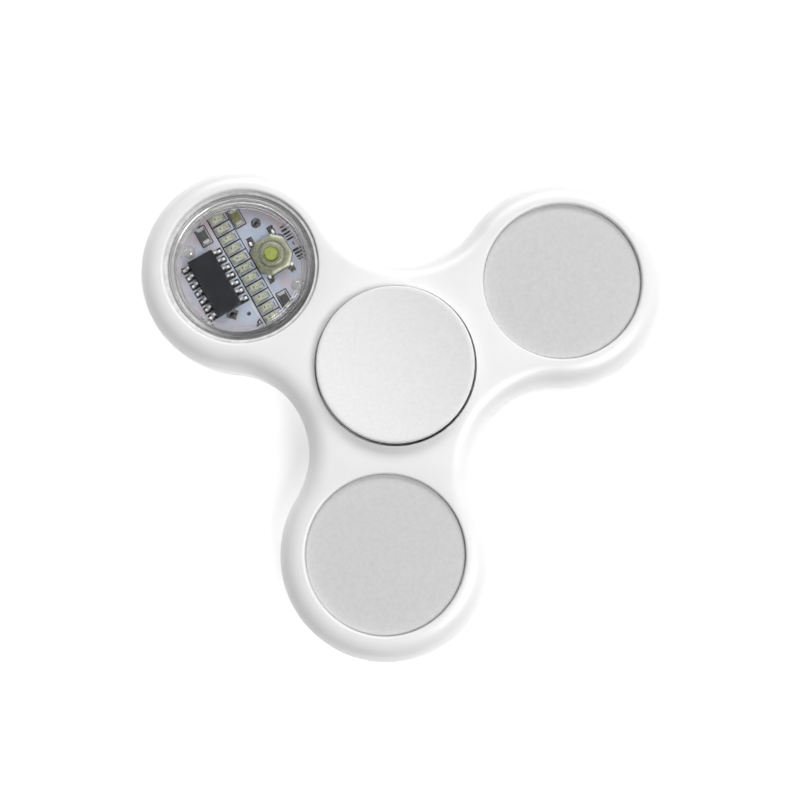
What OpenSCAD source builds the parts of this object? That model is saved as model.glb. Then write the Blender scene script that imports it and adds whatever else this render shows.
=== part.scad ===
// Three-lobed fidget spinner. A 608-size ball bearing sits in the middle of a
// one-piece moulded frame and carries a dished finger cap on each side. One
// lobe holds a clear light module with its circuit, button and coin cell. The
// other two hold a steel weight ring between two flat covers.
// Origin: the centre of the bearing, on the spin axis, halfway up the frame.
// Z is the spin axis. Every height below is measured from that mid-plane.

/* [Frame] */
// Distance from the spin axis to the centre of each lobe
lobe_pitch = 26; // [26:0.5:28]
// Radius of the outline of a lobe
lobe_r = 14.75; // [14.75:0.25:15.5]
// Thickness of the frame
frame_t = 10; // [9.8:0.1:11]
// Radius of the rounding along the outer edge of the frame
edge_r = 3.4; // [1:0.2:3.4]
// Radius of the concave curve between two lobes
waist_r = 11.7; // [11.5:0.1:13]
// Radius of the seats for the bearing, the weights and the light module
seat_r = 11; // [11:0.05:11.1]
// Radius of the counterbore around each finger cap
counterbore_r = 11.2; // [11.15:0.05:11.6]

/* [Bearing] */
// Radius of the bearing's bore
bore_r = 4; // [4:0.1:4.2]
// Width of the bearing
bearing_w = 7; // [7:0.1:7.4]
// Radius of a ball
ball_r = 1.9845; // [1.9:0.0005:1.9845]
// Number of balls
ball_count = 7; // [5:1:7]
// Clearance between a ball and its grooves
ball_play = 0.03; // [0.02:0.01:0.05]

/* [Finger caps] */
// Radius of a finger cap
cap_r = 10.9; // [10:0.1:10.9]
// Height of the rim of the upper cap above the mid-plane
cap_top = 6.65; // [6.4:0.05:7.5]
// Height of the underside of the upper cap above the mid-plane
cap_under = 4.75; // [4.5:0.05:4.8]
// Depth of the dish in a cap
dish_depth = 1; // [0.2:0.1:1.2]

/* [Weights] */
// Height of the face of a lobe's cover above the mid-plane
cover_top = 4.3; // [4.1:0.1:4.9]
// Thickness of a cover
cover_t = 1.2; // [1:0.1:1.6]
// Radial thickness of a weight ring
weight_wall = 2; // [1:0.25:5]

/* [Light module] */
// Angle that the circuit board is turned by, about its own centre
board_turn = 33; // [-180:1:180]
// Number of lamps in the row on the board, an odd number
led_count = 11; // [1:2:11]
// Distance between two lamps in the row
led_pitch = 1.595; // [1.4:0.005:1.6]
// Travel of the clear cover when it is pressed
press_travel = 0.25; // [0.1:0.05:0.25]

/* [Hidden] */
$fn = 96;
lobe_angles = [150, 30, 270];
half_t = frame_t / 2;
half_w = bearing_w / 2;
fit = 0.05;

// Frame: a lobe's arc and a waist's arc cross at crease_angle instead of
// just touching, so that the two surfaces meet along a true edge
crease_angle = 4;
centre_gap = sqrt(pow(lobe_r, 2) + pow(waist_r, 2) + 2 * lobe_r * waist_r * cos(crease_angle));
waist_centre = (lobe_pitch + sqrt(4 * pow(centre_gap, 2) - 3 * pow(lobe_pitch, 2))) / 2;
waist_half_angle = 120 - asin(waist_centre * sin(60) / centre_gap);
web_overlap = 2;
trim = 0.02;
seat_round = 0.3;
counterbore_round = 0.12;

// Bearing
ball_pitch_r = 7.5;
inner_land_r = 6;
outer_land_r = 9;
shield_recess_r = 9.7;
shield_z = 2.95;
shield_t = 0.2;
snap_wire_r = 0.14;
snap_gap_angle = 25;
ring_chamfer = 0.3;
cage_sheet = 0.3;
cage_pocket_r = ball_r + fit;
cage_inner_r = 6.75;
cage_outer_r = 8.25;
rivet_r = 0.25;
rivet_head_r = 0.42;
rivet_head_h = 0.2;

// Finger caps
stub_r = bore_r - 0.03;
stub_gap = 0.4;
hub_r = 5.4;
rim_land = 0.25;
rim_round = 0.3;

// Weights and covers
weight_r = seat_r - fit;
weight_top = cover_top - cover_t;
cover_chamfer = 0.15;

// Light module, from the floor up
module_r = seat_r - 0.08;
module_bottom = -4.3;
floor_t = 0.8;
cell_pocket_r = 8.5;
board_z = 0.8;
board_t = 0.8;
board_r = 9.2;
board_pocket_r = 9.3;
bezel_z = 3.2;
bezel_top = 4.4;
lip_z = 3.85;
groove_r = 10.2;
groove_z = 4;
groove_half_w = 0.4;
flange_pocket_r = 9.8;
lens_z = 3.5;
lens_top = 4.3;
lens_r = 9.2;
flange_r = 9.7;
flange_t = 0.3;
board_top = board_z + board_t;
cell_r = 8;
cell_t = 3.2;
cell_top = 0.1;
leaf_t = 0.2;
leaf_w = 3;
tab_angle = 75;

// Board features, in the board's own x and y from its centre
peg_spots = [[-5.3, 6], [5.4, -5.45]];
peg_r = 0.7;
peg_head_r = 0.95;
notch_w = 1.7;
hole_spots = [[4.7, 5.05], [-4.45, -4.4]];
hole_r = 0.4;
via_spot = [-2.35, -5.6];
via_r = 0.2;

led_row = [0.2, 0.25];
led_size = [1.95, 1.05, 0.25];
led_dome = [1.45, 0.99, 0.3];

chip_spot = [-4.42, 0.29];
chip_size = [3.9, 8.65, 1.3];
chip_standoff = 0.1;
chip_pins = 7;
pin_pitch = 1.27;
pin_w = 0.42;
pin_reach = 3;

switch_spot = [4.5, -0.22];
switch_w = 5;
switch_corner = 1.25;
switch_base_h = 0.6;
switch_h = 1.2;
switch_opening_r = 1.05;
switch_collar_r = 1.8;
switch_collar_h = 0.15;
dome_r = 1.95;
dome_rise = 0.38;
dome_t = 0.08;
plunger_r = 0.95;
plunger_flange_r = 1.6;
plunger_top = 1.7;
switch_leg_x = [-1.85, 1.55];
switch_leg_w = 0.7;
switch_leg_reach = 3.35;

passive_size = [1.25, 2, 0.5];
passive_cap = 0.35;
resistor_spots = [[-2.52, 7.1], [2.96, -6.5]];
capacitor_spot = [2.74, 7.1];

// ---- helpers ----

function arc(centre, r, from, to, steps = 8) =
    [for (i = [0:steps]) let (a = from + (to - from) * i / steps) centre + r * [cos(a), sin(a)]];

// A ring, or a disc where the inner radius is 0
module tube(r_out, r_in, z_low, z_high) {
    rotate_extrude()
        translate([r_in, z_low])
            square([r_out - r_in, z_high - z_low]);
}

// Moves its children to the centre of a lobe; the light module is lobe 0
module at_lobe(n) {
    translate(lobe_pitch * [cos(lobe_angles[n]), sin(lobe_angles[n]), 0]) children();
}

// Moves its children onto the top face of the circuit board
module on_board(spot = [0, 0], z = board_top) {
    at_lobe(0) rotate(board_turn) translate([spot[0], spot[1], z]) children();
}

module at_ball(i) {
    rotate((i - 1) * 360 / ball_count) translate([ball_pitch_r, 0, 0]) children();
}

module between_balls() {
    for (i = [1:ball_count]) {
        rotate((i - 0.5) * 360 / ball_count) translate([ball_pitch_r, 0, 0]) children();
    }
}

// ---- frame ----

// Half section of the frame from radius far to a rounded edge at radius edge,
// which lies outside far on a lobe and inside far on a waist. It is a little
// too tall, and frame_blank trims it to the frame's two flat faces.
module edge_section(edge, far) {
    flat = edge - sign(edge - far) * edge_r;
    tall = half_t + trim;
    translate([min(far, flat), -tall]) square([abs(flat - far), 2 * tall]);
    translate([min(far, edge), edge_r - tall]) square([abs(edge - far), 2 * (tall - edge_r)]);
    for (z = [edge_r - tall, tall - edge_r]) {
        translate([flat, z]) circle(r = edge_r);
    }
}

module lobe_disc() {
    translate([lobe_pitch, 0, 0]) rotate_extrude() edge_section(lobe_r, 0);
}

module waist_sector() {
    rotate(60)
        translate([waist_centre, 0, 0])
            rotate(180 - waist_half_angle)
                rotate_extrude(angle = 2 * waist_half_angle)
                    edge_section(waist_r, centre_gap + web_overlap);
}

module frame_blank() {
    reach = lobe_pitch + lobe_r + 1;
    intersection() {
        for (a = lobe_angles) {
            rotate(a) {
                lobe_disc();
                waist_sector();
            }
        }
        translate([-reach, -reach, -half_t]) cube([2 * reach, 2 * reach, frame_t]);
    }
}

// Half section of a hole that opens through the frame's upper face, from
// height low upwards, with the rim of its mouth rounded off
module mouth_section(r, low, rim) {
    centre_z = half_t - rim + trim;
    translate([0, low]) square([r, half_t + 1 - low]);
    difference() {
        translate([0, centre_z]) square([r + rim, half_t + 1 - centre_z]);
        translate([r + rim, centre_z]) circle(r = rim);
    }
}

module frame() {
    color("white")
        difference() {
            frame_blank();
            tube(seat_r, 0, -half_w - 1, half_w + 1);
            for (side = [0, 1]) {
                mirror([0, 0, side]) {
                    rotate_extrude() mouth_section(counterbore_r, half_w, counterbore_round);
                    for (n = [0:2]) {
                        at_lobe(n) rotate_extrude() mouth_section(seat_r, -1, seat_round);
                    }
                }
            }
        }
}

// ---- bearing ----

module ball_groove() {
    translate([ball_pitch_r, 0]) circle(r = ball_r + ball_play);
}

module bearing_outer_ring() {
    c = ring_chamfer;
    color("silver")
        rotate_extrude()
            difference() {
                polygon([
                    [outer_land_r, -half_w], [seat_r - c, -half_w], [seat_r, c - half_w],
                    [seat_r, half_w - c], [seat_r - c, half_w], [outer_land_r, half_w]
                ]);
                ball_groove();
                for (z = [-half_w - 1, shield_z]) {
                    translate([0, z]) square([shield_recess_r, half_w - shield_z + 1]);
                }
            }
}

module bearing_inner_ring() {
    c = ring_chamfer;
    color("silver")
        rotate_extrude()
            difference() {
                polygon([
                    [bore_r, c - half_w], [bore_r + c, -half_w], [inner_land_r, -half_w],
                    [inner_land_r, half_w], [bore_r + c, half_w], [bore_r, half_w - c]
                ]);
                ball_groove();
            }
}

module ball(i) {
    color("gainsboro") at_ball(i) sphere(r = ball_r);
}

// One pressed half of the cage: a flat ring that swells around each ball
module cage_half() {
    difference() {
        intersection() {
            tube(cage_outer_r, cage_inner_r, 0, cage_pocket_r + 1);
            union() {
                tube(cage_outer_r + 1, 0, 0, cage_sheet);
                for (i = [1:ball_count]) {
                    at_ball(i) sphere(r = cage_pocket_r + cage_sheet);
                }
            }
        }
        for (i = [1:ball_count]) {
            at_ball(i) sphere(r = cage_pocket_r);
        }
        between_balls() tube(rivet_r, 0, -1, 1);
    }
}

module cage_upper() {
    color("darkgray") cage_half();
}

module cage_lower() {
    color("darkgray") mirror([0, 0, 1]) cage_half();
}

module cage_rivets() {
    color("silver")
        between_balls() {
            tube(rivet_r, 0, -cage_sheet, cage_sheet);
            for (z = [-cage_sheet - rivet_head_h, cage_sheet]) {
                tube(rivet_head_r, 0, z, z + rivet_head_h);
            }
        }
}

module shield() {
    tube(shield_recess_r - fit, inner_land_r + 0.25, shield_z, shield_z + shield_t);
}

module shield_upper() {
    color("lightsteelblue") shield();
}

module shield_lower() {
    color("lightsteelblue") mirror([0, 0, 1]) shield();
}

module snap_ring() {
    rotate(snap_gap_angle / 2)
        rotate_extrude(angle = 360 - snap_gap_angle)
            translate([shield_recess_r - 0.01 - snap_wire_r, shield_z + shield_t + 0.01 + snap_wire_r])
                circle(r = snap_wire_r, $fn = 24);
}

module snap_ring_upper() {
    color("silver") snap_ring();
}

module snap_ring_lower() {
    color("silver") mirror([0, 0, 1]) snap_ring();
}

// ---- finger caps ----

// A dished button on a stub that presses into the bore and a hub that
// clamps against the inner ring only
module finger_cap() {
    dish_edge_r = cap_r - rim_round - rim_land;
    dish_sphere_r = (pow(dish_edge_r, 2) + pow(dish_depth, 2)) / (2 * dish_depth);
    rotate_extrude()
        difference() {
            polygon(concat(
                [[0, stub_gap / 2], [stub_r, stub_gap / 2], [stub_r, half_w]],
                [[hub_r, half_w], [hub_r, cap_under]],
                arc([cap_r - rim_round, cap_under + rim_round], rim_round, -90, 0),
                arc([cap_r - rim_round, cap_top - rim_round], rim_round, 0, 90),
                [[0, cap_top]]
            ));
            translate([0, cap_top - dish_depth + dish_sphere_r]) circle(r = dish_sphere_r, $fn = 360);
        }
}

module top_cap() {
    color("whitesmoke") finger_cap();
}

module bottom_cap() {
    color("whitesmoke") mirror([0, 0, 1]) finger_cap();
}

// ---- weights ----

module weight_ring(n) {
    color("slategray") at_lobe(n) tube(weight_r, weight_r - weight_wall, -weight_top, weight_top);
}

// A flat disc that lies on the weight ring
module cover() {
    c = cover_chamfer;
    rotate_extrude()
        polygon([
            [0, weight_top], [weight_r, weight_top], [weight_r, cover_top - c],
            [weight_r - c, cover_top], [0, cover_top]
        ]);
}

module cover_upper(n) {
    color("lightgray") at_lobe(n) cover();
}

module cover_lower(n) {
    color("lightgray") at_lobe(n) mirror([0, 0, 1]) cover();
}

// ---- light module: clear shell ----

// Clear cup that holds the cell below and the board on its ledge, with two
// pegs whose heads clamp the board
module module_cup() {
    c = ring_chamfer;
    color("azure", 0.5) {
        at_lobe(0)
            rotate_extrude()
                polygon([
                    [0, module_bottom], [module_r - c, module_bottom], [module_r, module_bottom + c],
                    [module_r, bezel_z], [board_pocket_r, bezel_z], [board_pocket_r, board_z],
                    [cell_pocket_r, board_z], [cell_pocket_r, module_bottom + floor_t],
                    [0, module_bottom + floor_t]
                ]);
        for (spot = peg_spots) {
            on_board(spot) board_peg();
        }
    }
}

module board_peg() {
    boss_low = cell_top + 0.2;
    head_drop = peg_head_r / 3;
    translate([0, 0, -board_top]) tube(peg_r + 0.5, 0, boss_low, board_z);
    tube(peg_r, 0, board_z - board_top - 0.1, fit);
    intersection() {
        translate([0, 0, -head_drop]) sphere(r = peg_head_r);
        tube(peg_head_r + 1, 0, 0, peg_head_r);
    }
}

// Clear ring that closes the cup and holds the pressing cover in by its lip.
// A shallow V groove runs round its top face.
module module_bezel() {
    lip_r = lens_r + 0.1;
    round_r = (bezel_top - lip_z) / 2;
    color("azure", 0.5)
        at_lobe(0)
            rotate_extrude()
                polygon(concat(
                    [[flange_pocket_r, bezel_z], [module_r, bezel_z]],
                    arc([module_r - round_r, bezel_top - round_r], round_r, 0, 90),
                    [
                        [groove_r + groove_half_w, bezel_top], [groove_r, groove_z],
                        [groove_r - groove_half_w, bezel_top]
                    ],
                    [[lip_r + 0.1, bezel_top], [lip_r, bezel_top - 0.1]],
                    [[lip_r, lip_z], [flange_pocket_r, lip_z]]
                ));
}

// Clear cover with a captive flange and a short post above the button
module module_lens() {
    c = 0.1;
    color("azure", 0.4) {
        at_lobe(0)
            rotate_extrude()
                polygon([
                    [0, lens_z], [flange_r, lens_z], [flange_r, lens_z + flange_t],
                    [lens_r, lens_z + flange_t], [lens_r, lens_top - c], [lens_r - c, lens_top],
                    [0, lens_top]
                ]);
        on_board(switch_spot, 0) tube(plunger_r, 0, board_top + plunger_top + 0.02, lens_z + fit);
    }
}

// ---- light module: power ----

module coin_cell() {
    low = cell_top - cell_t;
    step = 0.35;
    color("gainsboro")
        at_lobe(0)
            rotate_extrude()
                polygon([
                    [0, low], [cell_r - 1.1, low], [cell_r - 0.9, low + step],
                    [cell_r - step, low + step], [cell_r, low + 2 * step], [cell_r, cell_top - step],
                    [cell_r - step, cell_top], [0, cell_top]
                ]);
}

module cell_contact_lower() {
    low = module_bottom + floor_t;
    tab_r = cell_r + 0.1;
    color("goldenrod")
        at_lobe(0) rotate(board_turn + tab_angle) {
            translate([-leaf_w, -leaf_w / 2, low]) cube([tab_r + leaf_t + leaf_w, leaf_w, leaf_t]);
            translate([tab_r, -leaf_w / 2, low]) cube([leaf_t, leaf_w, board_z - low]);
            tube(leaf_w / 3, 0, low + leaf_t / 2, cell_top - cell_t);
        }
}

module cell_contact_upper() {
    span = 10;
    color("goldenrod")
        at_lobe(0) rotate(board_turn) {
            translate([-span / 2, -leaf_w / 2, board_z - leaf_t]) cube([span, leaf_w, leaf_t]);
            for (x = [-span / 4, span / 4]) {
                translate([x, 0, 0]) tube(leaf_w / 3, 0, cell_top, board_z - leaf_t / 2);
            }
        }
}

// ---- light module: board and what is soldered to it ----

module circuit_board() {
    color("lavender")
        difference() {
            at_lobe(0) tube(board_r, 0, board_z, board_top);
            for (spot = peg_spots) {
                on_board(spot) tube(notch_w / 2, 0, -board_t - 1, 1);
                on_board(spot, board_z + board_t / 2)
                    rotate(atan2(spot[1], spot[0]))
                        translate([0, -notch_w / 2, -board_t])
                            cube([3, notch_w, 2 * board_t]);
            }
            for (spot = hole_spots) {
                on_board(spot) tube(hole_r, 0, -board_t - 1, 1);
            }
            on_board(via_spot) tube(via_r, 0, -board_t - 1, 1);
        }
}

// Solid box that stands on the board and is centred on its own x and y
module chip_block(size) {
    translate([-size[0] / 2, -size[1] / 2, 0]) cube(size);
}

module led(i) {
    y = (i - (led_count + 1) / 2) * led_pitch;
    color("lightyellow")
        on_board(led_row + [0, y]) {
            chip_block(led_size);
            chip_block([led_dome[0], led_dome[1], led_size[2] + led_dome[2]]);
        }
}

module chip_body() {
    half_x = chip_size[0] / 2;
    draft = 0.12;
    mid = chip_size[2] / 2;
    mark_r = 0.35;
    mark_inset = 0.9;
    color("dimgray")
        on_board(chip_spot, board_top + chip_standoff)
            difference() {
                rotate([90, 0, 0])
                    translate([0, 0, -chip_size[1] / 2])
                        linear_extrude(chip_size[1])
                            polygon([
                                [draft - half_x, 0], [half_x - draft, 0], [half_x, mid],
                                [half_x - draft, chip_size[2]], [draft - half_x, chip_size[2]], [-half_x, mid]
                            ]);
                translate([mark_inset - half_x, mark_inset - chip_size[1] / 2, 0])
                    tube(mark_r, 0, chip_size[2] - 0.08, chip_size[2] + 1);
            }
}

// The bent pins along both long sides of the chip
module chip_pins() {
    side = chip_size[0] / 2;
    shoulder = chip_standoff + chip_size[2] / 2;
    thick = 0.2;
    bend = side + 0.45;
    color("silver")
        on_board(chip_spot)
            for (turn = [0, 180], k = [0:chip_pins - 1]) {
                rotate(turn)
                    translate([0, (k - (chip_pins - 1) / 2) * pin_pitch + pin_w / 2, 0])
                        rotate([90, 0, 0])
                            linear_extrude(pin_w)
                                polygon([
                                    [pin_reach, 0], [pin_reach, thick], [bend + thick, thick],
                                    [bend + thick / 2, shoulder + thick / 2], [side, shoulder + thick / 2],
                                    [side, shoulder - thick / 2],
                                    [bend - thick / 2, shoulder - thick / 2], [bend, 0]
                                ]);
            }
}

// Square outline with its corners cut off
module switch_outline(w) {
    h = w / 2;
    k = h - switch_corner;
    polygon([[h, -k], [h, k], [k, h], [-k, h], [-h, k], [-h, -k], [-k, -h], [k, -h]]);
}

module switch_base() {
    color("black")
        on_board(switch_spot)
            difference() {
                linear_extrude(switch_base_h) switch_outline(switch_w);
                tube(dome_r + fit, 0, switch_base_h - dome_rise - dome_t, switch_base_h + 1);
            }
}

// Metal lid with a raised collar round the button
module switch_cover() {
    color("darkkhaki")
        on_board(switch_spot)
            difference() {
                union() {
                    translate([0, 0, switch_base_h])
                        linear_extrude(switch_h - switch_base_h)
                            switch_outline(switch_w + 0.2);
                    tube(switch_collar_r, 0, switch_base_h, switch_h + switch_collar_h);
                }
                tube(plunger_flange_r + 0.2, 0, switch_base_h - 1, switch_h - leaf_t);
                tube(switch_opening_r, 0, switch_base_h, switch_h + 1);
            }
}

// Snap dome: a thin shallow cap of a sphere that clicks under the button
module switch_dome() {
    sphere_r = (pow(dome_r, 2) + pow(dome_rise, 2)) / (2 * dome_rise);
    centre_z = switch_base_h - sphere_r;
    edge_angle = acos(dome_r / sphere_r);
    color("silver")
        on_board(switch_spot)
            rotate_extrude()
                polygon(concat(
                    arc([0, centre_z], sphere_r, edge_angle, 90),
                    arc([0, centre_z - dome_t], sphere_r, 90, edge_angle)
                ));
}

module switch_plunger() {
    low = switch_base_h + 0.02;
    round_r = 0.2;
    color("yellowgreen")
        on_board(switch_spot)
            rotate_extrude()
                polygon(concat(
                    [[0, low], [plunger_flange_r, low], [plunger_flange_r, switch_h - leaf_t - fit]],
                    [[plunger_r, switch_h - leaf_t - fit]],
                    arc([plunger_r - round_r, plunger_top - round_r], round_r, 0, 90),
                    [[0, plunger_top]]
                ));
}

// The four soldered legs, two on each of the sides that face along the row
module switch_legs() {
    start = switch_w / 2;
    thick = 0.2;
    color("silver")
        on_board(switch_spot)
            for (side = [0, 1], x = switch_leg_x) {
                mirror([0, side, 0])
                    translate([x - switch_leg_w / 2, start, 0])
                        cube([switch_leg_w, switch_leg_reach - start, thick]);
            }
}

// Two-terminal part with a metal cap at each end
module passive() {
    chip_block([passive_size[0] - 0.06, passive_size[1] - passive_cap, passive_size[2] - 0.04]);
    for (s = [-1, 1]) {
        translate([0, s * (passive_size[1] - passive_cap) / 2, 0])
            chip_block([passive_size[0], passive_cap, passive_size[2]]);
    }
}

module resistor(i) {
    color("dimgray") on_board(resistor_spots[i - 1]) passive();
}

module capacitor() {
    color("tan") on_board(capacitor_spot) passive();
}

// ---- assembly ----

frame();
bearing_outer_ring();
bearing_inner_ring();
cage_upper();
cage_lower();
cage_rivets();
for (i = [1:ball_count]) ball(i);
shield_upper();
shield_lower();
snap_ring_upper();
snap_ring_lower();
top_cap();
bottom_cap();
for (i = [1:2]) weight_ring(i);
for (i = [1:2]) cover_upper(i);
for (i = [1:2]) cover_lower(i);
module_cup();
module_bezel();
module_lens();
circuit_board();
coin_cell();
cell_contact_lower();
cell_contact_upper();
for (i = [1:led_count]) led(i);
chip_body();
chip_pins();
switch_base();
switch_cover();
switch_dome();
switch_plunger();
switch_legs();
resistor(1);  // resistor_1
resistor(2);  // resistor_2
capacitor();
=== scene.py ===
from math import asin, atan2, cos, hypot, pi, radians, sin, sqrt

import bmesh
import bpy
from mathutils import Matrix, Vector
from mathutils.geometry import delaunay_2d_cdt


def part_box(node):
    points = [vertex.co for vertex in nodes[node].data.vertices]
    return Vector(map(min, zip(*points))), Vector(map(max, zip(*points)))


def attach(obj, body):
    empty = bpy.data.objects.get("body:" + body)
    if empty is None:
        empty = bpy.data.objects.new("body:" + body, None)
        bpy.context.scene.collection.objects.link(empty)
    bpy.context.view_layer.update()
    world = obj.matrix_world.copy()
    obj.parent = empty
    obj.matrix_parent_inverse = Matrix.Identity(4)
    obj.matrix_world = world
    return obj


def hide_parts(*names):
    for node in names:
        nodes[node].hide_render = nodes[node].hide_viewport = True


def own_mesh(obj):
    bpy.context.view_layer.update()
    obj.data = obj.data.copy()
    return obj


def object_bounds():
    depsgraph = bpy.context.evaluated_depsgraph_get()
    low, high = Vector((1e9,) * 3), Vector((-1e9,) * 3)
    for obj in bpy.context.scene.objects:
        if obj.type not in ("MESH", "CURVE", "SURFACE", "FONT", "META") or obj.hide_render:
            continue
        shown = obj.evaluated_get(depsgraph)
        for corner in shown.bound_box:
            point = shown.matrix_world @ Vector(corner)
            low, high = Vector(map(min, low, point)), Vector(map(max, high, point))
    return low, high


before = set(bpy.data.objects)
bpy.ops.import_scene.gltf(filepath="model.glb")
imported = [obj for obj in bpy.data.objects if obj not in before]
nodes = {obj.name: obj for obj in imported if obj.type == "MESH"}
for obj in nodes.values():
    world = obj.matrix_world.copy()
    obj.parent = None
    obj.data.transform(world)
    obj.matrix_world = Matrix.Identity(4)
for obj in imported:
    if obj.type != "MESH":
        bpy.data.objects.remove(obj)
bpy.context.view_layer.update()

MM = 0.001
MICROMETRE = 1e-6


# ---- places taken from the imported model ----

def middle(node):
    low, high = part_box(node)
    return (low + high) / 2


frame_low, frame_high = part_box("frame")
HALF_THICKNESS = frame_high.z
MODULE = middle("module_cup")
COVERS = [middle("cover_upper_1"), middle("cover_upper_2")]
LOBES = [Vector((c.x, c.y)) for c in [MODULE] + COVERS]
lowest_lobe = min(LOBES, key=lambda c: c.y)
LOBE_PITCH = lowest_lobe.length
LOBE_R = lowest_lobe.y - frame_low.y

# The board's own axes: y runs along the row of lamps, x across it
lamps = sorted((n for n in nodes if n.startswith("led_")), key=lambda n: int(n.split("_")[1]))
first_lamp, last_lamp = middle(lamps[0]), middle(lamps[-1])
board_y = (last_lamp - first_lamp).normalized()
board_x = Vector((board_y.y, -board_y.x, 0))
BOARD_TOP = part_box("circuit_board")[1].z


def on_board(x, y, z):
    """A point given in millimetres on the board's own axes, above its top face."""
    p = Vector((MODULE.x, MODULE.y, BOARD_TOP)) + MM * (x * board_x + y * board_y)
    p.z += z * MM
    return p


def board_spot(point):
    """The board's own x and y of a point in the row frame, in millimetres."""
    d = (point - Vector((MODULE.x, MODULE.y, 0))) / MM
    return d.dot(board_x), d.dot(board_y)


# ---- mesh helpers ----

def add_mesh(name, verts, faces, material, smooth_angle=30):
    """A smoothly shaded piece, whose edges stay sharp where they turn by more than the angle."""
    mesh = bpy.data.meshes.new(name)
    mesh.from_pydata([tuple(v) for v in verts], [], faces)
    bm = bmesh.new()
    bm.from_mesh(mesh)
    bmesh.ops.remove_doubles(bm, verts=bm.verts, dist=1e-7)
    bmesh.ops.recalc_face_normals(bm, faces=bm.faces)
    bm.to_mesh(mesh)
    bm.free()
    mesh.shade_smooth()
    mesh.set_sharp_from_angle(angle=radians(smooth_angle))
    mesh.materials.append(material)
    piece = bpy.data.objects.new(name, mesh)
    bpy.context.scene.collection.objects.link(piece)
    return piece


def turn(section, steps, closed):
    """Points and faces of a section, (radius, height) points, turned about an upright axis."""
    points, faces = [], []
    n = len(section)
    for i in range(steps):
        a = 2 * pi * i / steps
        points += [(r * cos(a), r * sin(a), z) for r, z in section]
    for i in range(steps):
        j = (i + 1) % steps
        for k in range(n if closed else n - 1):
            m = (k + 1) % n
            faces.append((i * n + k, j * n + k, j * n + m, i * n + m))
    return points, faces


def shifted(faces, start):
    """The same faces for points that are numbered from start."""
    return [tuple(start + i for i in face) for face in faces]


def bridge(faces, a, b, n):
    """Joins two rings of n points, numbered from a and from b, with a band of faces."""
    for i in range(n):
        j = (i + 1) % n
        faces.append((a + i, a + j, b + j, b + i))


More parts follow.
